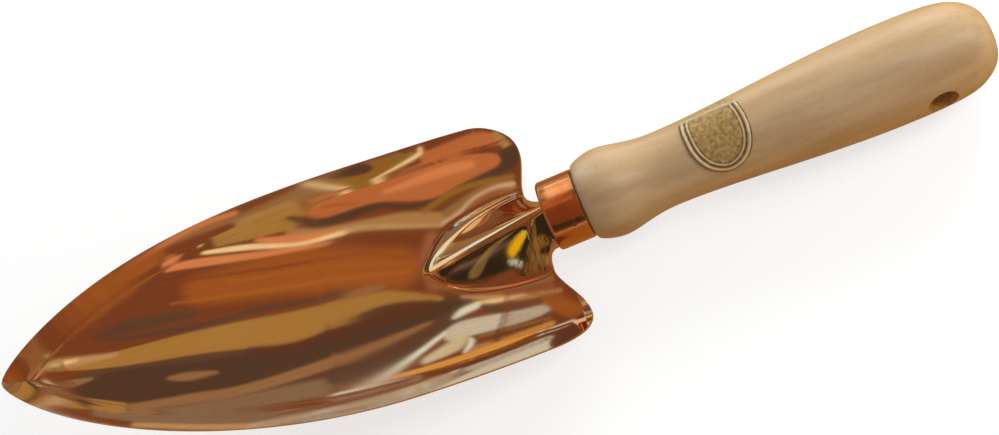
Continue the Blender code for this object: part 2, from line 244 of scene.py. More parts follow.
# Ridge
RIDGE_LENGTH = 0.0410
RIDGE_HELD = 0.0370
RIDGE_WIDEST = 0.0080
RIDGE_HALF = 0.0136
RIDGE_NECK_HALF = 0.0095
RIDGE_ROUNDNESS = 0.60
FLANK_POWER = 1.15
CREST_RADIUS = 0.0008
CREST_AT_REAR = 0.0069
CREST_FALL = 0.0101
NECK_DIP = 0.0037
NECK_DIP_START = 0.0010
NECK_DIP_LENGTH = 0.0070
NEAR_FILLET = 0.0005
FAR_FILLET = 0.0017
FILLET_CHANGES_OVER = 0.005
FILLET_NARROWS = (0.0300, 0.0420)
FILLET_AT_APEX = 0.35

# Sheet, and the grid that it is made on: rows partly eased and partly even, whose first ones keep
# the rear edge's shape
SHEET = 0.0015
RIM_THICKNESS = 0.0009
STEEPEST_UPRIGHT = 0.5
RIM_ROUND = 0.0002
SLOPE_STEP = 0.00005
GRID_ROWS = 261
GRID_EASED = 0.55
GRID_EVEN = 0.45
GRID_SETTLES = 0.20
LEAST_FOOT_SHARE = 0.15
NECK_COLUMNS = 9
NECK_SIDE_COLUMNS = 8
FINE_MERGE = 0.000002
TURNED_MERGE = 0.00001


def bezier(start, leave, arrive, end, pieces):
    """Points of one Bezier segment, with its handles as shares of the step from start to end."""
    start = np.array(start)
    end = np.array(end)
    step = end - start
    a = start + np.array(leave) * step
    b = start + np.array(arrive) * step
    t = np.linspace(0.0, 1.0, pieces + 1)[:, None]
    return (1 - t) ** 3 * start + 3 * t * (1 - t) ** 2 * a + 3 * t**2 * (1 - t) * b + t**3 * end


TIP = (TIP_AHEAD, 0.0)
WIDEST = (WIDEST_AHEAD, WIDEST_HALF)
CORNER = (CORNER_AHEAD, CORNER_HALF)
REAR = (REAR_AHEAD, REAR_HALF)
NOTCH = (NOTCH_AHEAD, NOTCH_HALF)
NECK = (NECK_AHEAD, NECK_HALF)
SIDE = np.vstack([
    bezier(TIP, (0.0, 0.145), (0.32, 1.0), WIDEST, 8000),
    bezier(WIDEST, (0.51, 0.0), (0.79, 0.45), CORNER, 1200)[1:],
])[::-1]


def smooth(value):
    """Rises smoothly from 0 to 1 as the value does."""
    value = np.clip(value, 0.0, 1.0)
    return value * value * (3.0 - 2.0 * value)


def half_width(ahead):
    """Half the width of the blade."""
    return np.interp(ahead, SIDE[:, 0], SIDE[:, 1])


def rim_lean(ahead):
    """Cosine of the angle between the rim and the blade's length."""
    step = TIP_AHEAD / 320.0
    slope = (half_width(ahead + step) - half_width(ahead - step)) / (2.0 * step)
    return 1.0 / np.sqrt(1.0 + slope * slope)


def inset_from_rim(ahead, across):
    """Distance inward from the rim."""
    return (half_width(ahead) - np.abs(across)) * rim_lean(ahead)


def crease_half(ahead):
    """Half the width of the dish, out to the crease along its band."""
    return np.maximum(0.0, half_width(ahead) - BAND_WIDTH / rim_lean(ahead))


def bend(ahead, start):
    """Rises in a straight line beyond the start, with a soft beginning."""
    return RIM_BEND_LENGTH * np.log1p(np.exp((ahead - start) / RIM_BEND_LENGTH))


def rim_height(ahead):
    height = RIM_AT_REAR + RIM_RISE * ahead
    for rise, start in RIM_BENDS:
        height = height + rise * bend(ahead, start)
    return height


def dish_depth(ahead):
    """Depth of the hollow below its two bands, which fades toward the rear edge."""
    fade = np.clip(1.0 - ahead / DISH_RELIEF_AHEAD, 0.0, 1.0) ** DISH_RELIEF_POWER
    return DISH_RATIO * crease_half(ahead) * (1.0 - DISH_REAR_RELIEF * fade)


def dish_height(ahead, across):
    inset = inset_from_rim(ahead, across)
    beyond = inset - BAND_WIDTH
    run = inset - 0.5 * (beyond + np.sqrt(beyond**2 + CREASE_RADIUS**2))
    curl = 1.0 + BAND_CURL * (1.0 - run / BAND_WIDTH)
    height = rim_height(ahead) - BAND_SLOPE * run * curl
    share = np.clip(np.abs(across) / np.maximum(crease_half(ahead), 1e-6), 0.0, 1.0)
    bowl = 1.0 - DISH_SQUARE * share**2 - DISH_FOURTH * share**4
    return height - dish_depth(ahead) * bowl


def ridge_half(ahead):
    share = np.clip((ahead - RIDGE_WIDEST) / (RIDGE_LENGTH - RIDGE_WIDEST), 0.0, 1.0)
    front = RIDGE_HALF * (1.0 - share * share) ** RIDGE_ROUNDNESS
    rear = RIDGE_NECK_HALF + (RIDGE_HALF - RIDGE_NECK_HALF) * smooth(ahead / RIDGE_WIDEST)
    return np.where(ahead > RIDGE_WIDEST, front, rear)


def crest_height(ahead):
    rise = CREST_AT_REAR - CREST_FALL * np.maximum(0.0, ahead) / RIDGE_LENGTH
    return rise - NECK_DIP * smooth((-ahead - NECK_DIP_START) / NECK_DIP_LENGTH)


def ridge_and_dish(ahead, across):
    """Heights of the ridge's flank and of the dish at each place."""
    level = np.maximum(0.0, ahead)
    held = np.minimum(ahead, RIDGE_HELD)
    foot = ridge_half(held)
    reach = np.sqrt(across**2 + CREST_RADIUS**2) - CREST_RADIUS
    tall = crest_height(held) - dish_height(np.maximum(0.0, held), foot)
    ridge = crest_height(ahead) - tall * (reach / foot) ** FLANK_POWER
    return ridge, dish_height(level, across)


def foot_fillet(ahead, across):
    """The fillet at the ridge's foot: wider on its far side, narrower toward the apex."""
    start, end = FILLET_NARROWS
    narrow = FILLET_AT_APEX + (1.0 - FILLET_AT_APEX) * smooth((end - ahead) / (end - start))
    far = smooth(0.5 + across / FILLET_CHANGES_OVER)
    return narrow * (NEAR_FILLET + (FAR_FILLET - NEAR_FILLET) * far)


def sheet_height(ahead, across):
    """Top of the sheet: the dish, and the ridge's flanks run down into it with a fillet."""
    ridge, dish = ridge_and_dish(ahead, across)
    fillet = foot_fillet(ahead, across)
    nearness = np.clip(1.0 - np.abs(ridge - dish) / fillet, 0.0, 1.0)
    return np.maximum(ridge, dish) + fillet * nearness**2 / 4.0


def sheet_top(ahead, across):
    return np.stack([FRONT_X - ahead, across, sheet_height(ahead, across)], -1)


def sheet_normal(ahead, across):
    step = SLOPE_STEP
    rise_ahead = sheet_height(ahead + step, across) - sheet_height(ahead - step, across)
    rise_across = sheet_height(ahead, across + step) - sheet_height(ahead, across - step)
    slopes = [rise_ahead / (2 * step), -rise_across / (2 * step), np.ones_like(ahead)]
    normal = np.stack(slopes, -1)
    return normal / np.linalg.norm(normal, axis=-1, keepdims=True)


def rear_skew(ahead, across):
    """How far the rear edge is out of square at each place."""
    fade = np.clip((SKEW_AHEAD - ahead) / (SKEW_AHEAD - NOTCH_AHEAD), 0.0, 1.0)
    share = np.maximum(0.0, np.abs(across) - NECK_HALF) / (CORNER_HALF - NECK_HALF)
    return np.sign(across) * REAR_SKEW * fade * share


def rear_columns():
    """(ahead, across) points from the middle of the neck out along the rear edge to the corner."""
    neck = [(-NECK_END, NECK_HALF * step / NECK_COLUMNS) for step in range(NECK_COLUMNS + 1)]
    run = (NECK_AHEAD + NECK_END) / NECK_SIDE_COLUMNS
    neck += [(-NECK_END + run * step, NECK_HALF) for step in range(1, NECK_SIDE_COLUMNS)]
    return np.vstack([
        np.array(neck),
        bezier(NECK, (0.64, 0.0), (1.0, 0.44), NOTCH, 14),
        bezier(NOTCH, (0.0, 0.30), (1.0, 0.64), REAR, 22)[1:],
        bezier(REAR, (0.0, 0.625), (0.53, 0.95), CORNER, 22)[1:],
    ])


def ridge_foot(ahead):
    """Where the grid passes from the ridge, or from a narrow strip ahead of it, to the dish."""
    crease = crease_half(ahead)
    return np.minimum(crease, np.maximum(ridge_half(ahead), LEAST_FOOT_SHARE * crease))


def blade_grid():
    """Plan positions (ahead, across) of the far half's grid: rows from the rear edge to the tip."""
    rear, start = rear_columns().T
    even_rows = np.linspace(0.0, 1.0, GRID_ROWS)
    eased_rows = 0.5 * (1.0 - np.cos(even_rows * math.pi))
    rows = GRID_EASED * eased_rows + GRID_EVEN * even_rows
    settle = np.clip(1.0 - rows / GRID_SETTLES, 0.0, 1.0)[:, None] ** 2
    ahead = TIP_AHEAD * rows[:, None] + rear * settle
    foot_rear = ridge_foot(rear)
    crease_rear = crease_half(rear)
    foot = ridge_foot(ahead)
    crease = crease_half(ahead)
    even_columns = np.arange(len(start)) / (start <= foot_rear).sum()
    in_ridge = even_columns + (start / foot_rear - even_columns) * settle
    in_dish = (start - foot_rear) / (crease_rear - foot_rear)
    in_band = (start - crease_rear) / (half_width(rear) - crease_rear)
    beyond_foot = np.where(
        start <= crease_rear,
        foot + (crease - foot) * in_dish,
        crease + (half_width(ahead) - crease) * in_band,
    )
    return ahead, np.where(start <= foot_rear, foot * in_ridge, beyond_foot)


def whole_grid():
    """The grid over both halves of the blade, with its rear edge out of square."""
    ahead, across = blade_grid()
    ahead = np.hstack([np.flip(ahead[:, 1:], axis=1), ahead])
    across = np.hstack([-np.flip(across[:, 1:], axis=1), across])
    return ahead + rear_skew(ahead, across), across


def grid_faces(rows, columns, columns_join=False, rows_join=False):
    """Quads between the neighbours of a grid of points, whose last and first may join."""
    corner = np.arange(rows * columns).reshape(rows, columns)
    if columns_join:
        corner = np.hstack([corner, corner[:, :1]])
    if rows_join:
        corner = np.vstack([corner, corner[:1]])
    corners = [corner[:-1, :-1], corner[1:, :-1], corner[1:, 1:], corner[:-1, 1:]]
    return np.stack(corners, -1).reshape(-1, 4)


def in_turn(first, second):
    """The quads of two tables, taken in turn."""
    return np.stack([first, second], 1).reshape(-1, 4)


def new_object(name, data):
    obj = bpy.data.objects.new(name, data)
    bpy.context.scene.collection.objects.link(obj)
    return obj


def mesh_object(name, vertices, faces, material):
    mesh = bpy.data.meshes.new(name)
    mesh.from_pydata(vertices.tolist(), [], faces.tolist())
    mesh.materials.append(material)
    for polygon in mesh.polygons:
        polygon.use_smooth = True
    return new_object(name, mesh)


def tidy_mesh(obj, distance):
    """Joins points that lie together and turns the faces outward."""
    builder = bmesh.new()
    builder.from_mesh(obj.data)
    bmesh.ops.remove_doubles(builder, verts=builder.verts, dist=distance)
    bmesh.ops.recalc_face_normals(builder, faces=builder.faces)
    builder.to_mesh(obj.data)
    builder.free()


def dress(obj, node, sharp=None):
    """Puts a finished piece in the place of its CAD node."""
    if sharp is not None:
        obj.data.set_sharp_from_angle(angle=math.radians(sharp))
    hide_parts(node)
    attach(obj, "root")


def build_blade(material):
    """The sheet as a closed skin: its top, its underside straight below it, and the walls."""
    ahead, across = whole_grid()
    top = sheet_top(ahead, across)
    upright = sheet_normal(ahead, across)[..., 2]
    share = np.clip(inset_from_rim(ahead, across) / BAND_WIDTH, 0.0, 1.0)
    thickness = RIM_THICKNESS + (SHEET - RIM_THICKNESS) * share
    under = top.copy()
    under[..., 2] -= thickness / np.maximum(upright, STEEPEST_UPRIGHT)
    vertices = np.vstack([top.reshape(-1, 3), under.reshape(-1, 3)])
    rows, columns = ahead.shape
    count = rows * columns
    upper = grid_faces(rows, columns)
    lower = count + upper[:, [0, 3, 2, 1]]
    rear = np.arange(columns - 1)
    near = np.arange(rows - 1) * columns
    far = near + columns - 1
    near_wall = np.stack([near, count + near, count + near + columns, near + columns], -1)
    far_wall = np.stack([far + columns, count + far + columns, count + far, far], -1)
    faces = np.vstack([
        in_turn(upper, lower),
        np.stack([rear, rear + 1, count + rear + 1, count + rear], -1),
        in_turn(near_wall, far_wall),
    ])
    blade = mesh_object("blade_skin", vertices, faces, material)
    tidy_mesh(blade, FINE_MERGE)
    rounded = blade.modifiers.new("Rim", "BEVEL")
    rounded.limit_method = "ANGLE"
    rounded.angle_limit = math.radians(50.0)
    rounded.width = RIM_ROUND
    rounded.segments = 3
    rounded.harden_normals = True
    dress(blade, "blade")


# Handle, ferrule, pin and badge

# Handle
GRIP_LENGTH = -FRONT_X
SHOULDER_ALONG = 0.0118
SPIGOT_START = 0.0058
SPIGOT_RADIUS = 0.0094
SHOULDER_ROUND = 0.0004
GRIP_STATIONS = (
    (SHOULDER_ALONG, 0.01125),
    (0.0204, 0.0140),
    (0.0386, 0.0116),
    (0.1093, 0.0154),
    (0.1307, 0.0140),
    (GRIP_LENGTH, 0.0050),
)
GRIP_BENDS = (
    ((0.0, 0.30), (0.52, 1.0)),
    ((0.27, 0.0), (0.51, 1.0)),
    ((0.28, 0.0), (0.65, 1.0)),
    ((0.42, 0.0), (0.77, 0.12)),
    ((0.37, 0.091), (1.0, 0.46)),
)
HANG_ALONG = 0.1198
HANG_RADIUS = 0.0039
HANG_FLARE = 0.0009
DRILL_PAST_WOOD = 0.002

# Ferrule
FERRULE_BORE = 0.0098
FERRULE_LIP = 0.0011
FERRULE_EDGE = 0.0003
FERRULE_RINGS = (0.009, 0.006, 0.003)

# Pin, with its end as (below its top, share of its radius)
PIN_RADIUS = 0.0009
PIN_DEPTH = 0.0012
PIN_PROUD = 0.00012
PIN_DOME_DEPTH = 0.0001
PIN_END = ((0.00004, 0.92), (0.0, 0.75), (0.00003, 0.55), (0.00035, 0.25), (0.0004, 0.0))

# Badge: where it sits, and the heights of its underside and its plain top over the wood
BADGE_ALONG = 0.0563
BADGE_ELEVATION = math.radians(80.0)
BADGE_ARC_RADIUS = 0.0122
BADGE_UNDER = 0.00002
BADGE_TOP = 0.00042
BADGE_SECTORS = 240
BADGE_EDGE_PIECES = 12
BADGE_RINGS = np.concatenate([np.linspace(0.0, 0.62, 22), np.linspace(0.62, 1.0, 50)[1:]])

# Outline of the badge as (along, round) in millimetres from its middle
BADGE_OUTLINE = (
    (-9.8, 1.5), (-9.5, -2.5), (-8.1, -6.6), (-5.2, -10.2), (-0.7, -12.2), (3.7, -11.3),
    (7.3, -8.2), (9.3, -4.0), (9.8, 0.5), (9.4, 4.5), (8.4, 8.4), (5.5, 10.9), (-0.3, 11.4),
    (-5.8, 10.9), (-8.9, 8.6), (-9.7, 5.5),
)
BADGE_LINE = ((-9.2, 8.3), (8.4, 7.0))

# Embossing: millimetres on the badge, levels as shares of RELIEF_HEIGHT, and borders as
# (distance from the rim, half width, level)
RELIEF_HEIGHT = 0.00030
RELIEF_RIM_FALL = 0.25
BORDERS = ((0.85, 0.70, 1.0), (2.35, 0.50, 0.80))
LINE_HALF_WIDTH = 0.75
LINE_SOFTNESS = 0.5
FIELD_INSET = 2.6
FIELD_RISES_OVER = 0.8
FIELD_LEVEL = 0.30
PANEL_LEVEL = 0.38
WRINKLES = ((0.9, 1.0), (2.3, 0.6))
WRINKLE_GAIN = 2.2
WRINKLE_LEVEL = 0.10


def grip_run():
    """(along, radius) points of the handle's outline from its shoulder to its butt."""
    runs = [
        bezier(start, *bends, end, 40)
        for start, end, bends in zip(GRIP_STATIONS, GRIP_STATIONS[1:], GRIP_BENDS)
    ]
    return np.vstack([runs[0]] + [run[1:] for run in runs[1:]])


GRIP = grip_run()


def grip_radius(along):
    return np.interp(along, GRIP[:, 0], GRIP[:, 1])


def turned(name, outline, sides, material, closed=False):
    """A skin turned about the handle's axis from (along, radius) points."""
    outline = np.array(outline)
    angle = np.linspace(0.0, 2.0 * math.pi, sides, endpoint=False)
    along = np.repeat(outline[:, :1], sides, axis=1)
    radius = outline[:, 1:2]
    vertices = np.stack([FRONT_X + along, radius * np.cos(angle), radius * np.sin(angle)], -1)
    faces = grid_faces(len(outline), sides, columns_join=True, rows_join=closed)
    obj = mesh_object(name, vertices.reshape(-1, 3), faces, material)
    tidy_mesh(obj, TURNED_MERGE)
    return obj


def turned_at_origin(name, outline, sides, material):
    """A skin turned about the X axis from (x, radius) points."""
    return turned(name, [(x - FRONT_X, radius) for x, radius in outline], sides, material)


def hang_drill(material):
    """The drill for the hang hole, with a rounded flare where it leaves each side."""
    mouth = grip_radius(HANG_ALONG)
    end = mouth + DRILL_PAST_WOOD
    side = [(end, HANG_RADIUS + HANG_FLARE)]
    for step in range(7):
        flare = 1.0 - math.sin(math.radians(15.0 * step))
        rise = 2.0 * HANG_FLARE * flare
        side.append((mouth - 2.0 * HANG_FLARE + rise, HANG_RADIUS + HANG_FLARE * flare))
    outline = [(-end, 0.0)] + [(-x, radius) for x, radius in side] + side[::-1] + [(end, 0.0)]
    drill = turned_at_origin("hang_drill", outline, 48, material)
    drill.data.transform(Matrix.Rotation(math.pi / 2.0, 4, "Z"))
    drill.data.transform(Matrix.Translation((FRONT_X + HANG_ALONG, 0.0, 0.0)))
    return drill


def build_handle(material, bore):
    """A turned grip with a spigot for the ferrule and a drilled hang hole."""
    outline = [(SPIGOT_START, 0.0), (SPIGOT_START, SPIGOT_RADIUS), (SHOULDER_ALONG, SPIGOT_RADIUS)]
    for step in range(3):
        turn = math.radians(30.0 * step)
        outline.append((
            SHOULDER_ALONG + SHOULDER_ROUND * (1.0 - math.cos(turn)),
            GRIP[0, 1] - SHOULDER_ROUND * (1.0 - math.sin(turn)),
        ))
    outline += [tuple(point) for point in GRIP if point[0] > SHOULDER_ALONG + SHOULDER_ROUND]
    outline.append((GRIP_LENGTH, 0.0))
    handle = turned("handle_skin", outline, 128, material)
    # The hang hole's inside gets the painted-shade material
    handle.data.materials.append(bore)
    drill = hang_drill(bore)
    hole = handle.modifiers.new("Hole", "BOOLEAN")
    hole.operation = "DIFFERENCE"
    hole.solver = "EXACT"
    hole.material_mode = "TRANSFER"
    hole.object = drill
    graph = bpy.context.evaluated_depsgraph_get()
    mesh = bpy.data.meshes.new_from_object(handle.evaluated_get(graph))
    handle.modifiers.clear()
    handle.data = mesh
    bpy.data.objects.remove(drill)
    dress(handle, "handle", sharp=38.0)


def build_ferrule(material):
    """A copper tube with its front edge rolled over."""
    outline = [(FERRULE_LENGTH, FERRULE_RADIUS - FERRULE_EDGE)]
    for step in range(1, 4):
        turn = math.radians(30.0 * step)
        outline.append((
            FERRULE_LENGTH - FERRULE_EDGE * (1.0 - math.cos(turn)),
            FERRULE_RADIUS - FERRULE_EDGE * (1.0 - math.sin(turn)),
        ))
    outline += [(along, FERRULE_RADIUS) for along in FERRULE_RINGS]
    for step in range(10):
        turn = math.radians(10.0 * step)
        outline.append((
            FERRULE_LIP * (1.0 - math.sin(turn)),
            FERRULE_RADIUS - FERRULE_LIP * (1.0 - math.cos(turn)),
        ))
    bore = (FERRULE_EDGE, FERRULE_RINGS[-1], FERRULE_LENGTH)
    outline += [(along, FERRULE_BORE) for along in bore]
    ferrule = turned("ferrule_skin", outline, 160, material, closed=True)
    dress(ferrule, "ferrule", sharp=50.0)


def build_pin(material):
    """End of the pin, filed nearly flush, with a punched pit in its middle."""
    foot = FERRULE_RADIUS - PIN_DEPTH
    top = FERRULE_RADIUS + PIN_PROUD
    outline = [(foot, 0.0), (foot, PIN_RADIUS), (FERRULE_RADIUS - PIN_DOME_DEPTH, PIN_RADIUS)]
    outline += [(top - below, PIN_RADIUS * share) for below, share in PIN_END]
    pin = turned_at_origin("pin_end", outline, 32, material)
    axis = Vector((0.0, -math.cos(PIN_ELEVATION), math.sin(PIN_ELEVATION)))
    pin.data.transform(Vector((1.0, 0.0, 0.0)).rotation_difference(axis).to_matrix().to_4x4())
    pin.data.transform(Matrix.Translation((FRONT_X + PIN_ALONG, 0.0, 0.0)))
    dress(pin, "ferrule_pin", sharp=60.0)


def flowing(points, pieces):
    """A smooth curve through the given points (Catmull-Rom)."""
    points = np.array(points, dtype=float)
    ends = np.vstack([2 * points[0] - points[1], points, 2 * points[-1] - points[-2]])
    t = np.linspace(0.0, 1.0, pieces, endpoint=False)[:, None]
    run = []
    for a, b, c, d in zip(ends, ends[1:], ends[2:], ends[3:]):
        second = 2 * a - 5 * b + 4 * c - d
        third = 3 * b - a - 3 * c + d
        run.append(0.5 * (2 * b + (c - a) * t + second * t**2 + third * t**3))
    return np.vstack(run + [points[-1:]])


def ridge_share(distance, middle, half):
    """1 on the middle of an embossed line, 0 beyond its half width."""
    return smooth(1.0 - np.abs(distance - middle) / half)


def badge_grid():
    """(x, y) points of the badge in millimetres from its middle: rings out to its rim."""
    loop = BADGE_OUTLINE + BADGE_OUTLINE[:2]
    edge = flowing(loop, BADGE_EDGE_PIECES)[:BADGE_EDGE_PIECES * len(BADGE_OUTLINE)]
    angle = np.arctan2(edge[:, 1], edge[:, 0])
    spokes = np.linspace(-math.pi, math.pi, BADGE_SECTORS, endpoint=False)
    reach = np.interp(spokes, angle, np.hypot(*edge.T), period=2.0 * math.pi)
    rings = BADGE_RINGS[:, None] * reach
    return rings * np.cos(spokes), rings * np.sin(spokes)


def inset_of_badge(x, y):
    """Distance of each point inward from the outermost ring."""
    inset = np.full(x.shape, np.inf)
    rim = np.stack([x[-1], y[-1]], -1)
    for a, b in zip(rim, np.roll(rim, -1, axis=0)):
        step = b - a
        share = ((x - a[0]) * step[0] + (y - a[1]) * step[1]) / (step @ step)
        share = np.clip(share, 0.0, 1.0)
        gap = np.hypot(x - a[0] - share * step[0], y - a[1] - share * step[1])
        inset = np.minimum(inset, gap)
    return inset


def wrinkles(x, y):
    """Fine wrinkles of the foil, to about 1 either way."""
    spots = np.stack([x, y, 0.0 * x], -1).reshape(-1, 3)
    height = 0.0
    for scale, tall in WRINKLES:
        height = height + tall * np.array([noise.noise(Vector(spot)) for spot in spots * scale])
    return WRINKLE_GAIN * height.reshape(x.shape)


def badge_relief(x, y, inset):
    """Embossing: borders below a straight line, a raised field inside them and a plain panel."""
    start, end = np.array(BADGE_LINE)
    run = (end - start) / np.linalg.norm(end - start)
    above = (y - start[1]) * run[0] - (x - start[0]) * run[1]
    below = smooth(0.5 - above / LINE_SOFTNESS)
    border = sum(level * ridge_share(inset, middle, half) for middle, half, level in BORDERS)
    line = ridge_share(above, 0.0, LINE_HALF_WIDTH)
    field = FIELD_LEVEL * below * smooth((inset - FIELD_INSET) / FIELD_RISES_OVER)
    relief = np.maximum(below * border, line) + field + (1.0 - below) * PANEL_LEVEL
    return relief + WRINKLE_LEVEL * wrinkles(x, y) * (1.0 - np.minimum(border, 1.0))


def build_badge(material):
    """A thin plate bent round the handle, embossed with a plain double border and one line."""
    x, y = badge_grid()
    inset = inset_of_badge(x, y)
    relief = badge_relief(x, y, inset)
    along = BADGE_ALONG + x / 1000.0
    turn = BADGE_ELEVATION + y / 1000.0 / BADGE_ARC_RADIUS

    def wrapped(lift):
        radius = grip_radius(along) + lift
        round_handle = [FRONT_X + along, -radius * np.cos(turn), radius * np.sin(turn)]
        return np.stack(round_handle, -1).reshape(-1, 3)

    top = wrapped(BADGE_TOP + RELIEF_HEIGHT * relief * smooth(inset / RELIEF_RIM_FALL))
    under = wrapped(BADGE_UNDER)
    count = len(top)
    upper = grid_faces(*x.shape, columns_join=True)
    rim = np.arange(count - BADGE_SECTORS, count)
    next_on_rim = np.roll(rim, -1)
    faces = np.vstack([
        in_turn(upper, count + upper[:, ::-1]),
        np.stack([rim, count + rim, count + next_on_rim, next_on_rim], -1),
    ])
    badge = mesh_object("badge_plate", np.vstack([top, under]), faces, material)
    layer = badge.data.attributes.new("relief", "FLOAT", "POINT")
    values = np.concatenate([relief.ravel(), np.zeros(count)])
    layer.data.foreach_set("value", values.astype(np.float32))
    tidy_mesh(badge, FINE_MERGE)
    dress(badge, "badge", sharp=45.0)


# Painted reflections: glowing sheets and a dome that only the polished metal sees

EYE = np.array((-0.09716, -0.21039, 0.39262))
BRONZE = np.array((0.76, 0.41, 0.21))

# Painted reflection sheets, one over another. Nearly level rays and wide quads are left out.
SHEET_HEIGHT = 0.130
SHEET_STEP = 0.0005
SHEET_FINER = 3
CREASE_CLEARANCE = 0.0005
FILLET_CLEARANCE = 1.05
FLANKS_START = 0.0012
CREST_HALF = 0.0016
LEAST_RISE = 0.03
WIDEST_QUAD = 0.40

# Painted brown reflection backing over the sheets, as (west, east) and (south, north) of each part
BACKING_HEIGHT = 0.136
BACKING_REACHES = (((-1.20, -0.152), (-0.45, 2.60)), ((-0.152, -0.112), (0.085, 2.60)))
BACKING_BROWN = np.array((0.26, 0.13, 0.065))

# Glowing dome of painted reflection, with the bounds of its pale part as (where, how softly)
ROOM_CENTRE = np.array((FRONT_X - 0.080, 0.0, 0.0))
ROOM_RADIUS = 4.0
PALE_ROOM = np.array((0.98, 0.92, 0.84))
BROWN_ROOM = np.array((0.27, 0.20, 0.17))
PALE_FAR_SIDE = (0.15, 0.30)
PALE_ABOVE = (0.15, 0.15)
PALE_BELOW = (0.88, 0.12)

# Low glowing sheet of painted reflection under the part, brown out to a share of its reach
LOW_BROWN = np.array((0.40, 0.24, 0.06))
LOW_REACH = 0.7
LOW_BROWN_SHARE = 0.7
LOW_FADE_SHARE = 0.3
LOW_LIFT = 0.0004

# Grain of the painted reflection streaks and of the ground under them, as a share of the tone
STREAK_GRAIN = 0.03
GROUND_GRAIN = 0.04

# Linear colours of the painted reflections, as the bronze shows them
TONES = {
    "wood": (0.325, 0.083, 0.014),
    "wood_light": (0.395, 0.104, 0.018),
    "wood_dark": (0.216, 0.048, 0.014),
    "deep_rust": (0.180, 0.044, 0.013),
    "rust": (0.285, 0.082, 0.024),
    "mauve_rust": (0.320, 0.105, 0.040),
    "maroon": (0.107, 0.032, 0.015),
    "dark": (0.084, 0.038, 0.018),
    "night": (0.026, 0.015, 0.006),
    "olive": (0.300, 0.165, 0.044),
    "dark_brown": (0.110, 0.046, 0.022),
    "brown": (0.275, 0.122, 0.036),
    "mauve": (0.232, 0.119, 0.057),
    "tan": (0.285, 0.125, 0.046),
    "mustard": (0.270, 0.112, 0.017),
    "gold": (0.740, 0.370, 0.006),
    "ochre": (0.375, 0.168, 0.034),
    "sand": (0.395, 0.182, 0.054),
    "pale_ochre": (0.480, 0.236, 0.088),
    "salmon": (0.470, 0.127, 0.035),
    "light_salmon": (0.640, 0.195, 0.061),
    "orange": (0.655, 0.262, 0.046),
    "pink": (0.640, 0.360, 0.185),
    "beige": (0.560, 0.445, 0.295),
    "pale_olive": (0.560, 0.430, 0.230),
    "cream": (0.860, 0.550, 0.240),
    "white": (0.740, 0.650, 0.440),
}
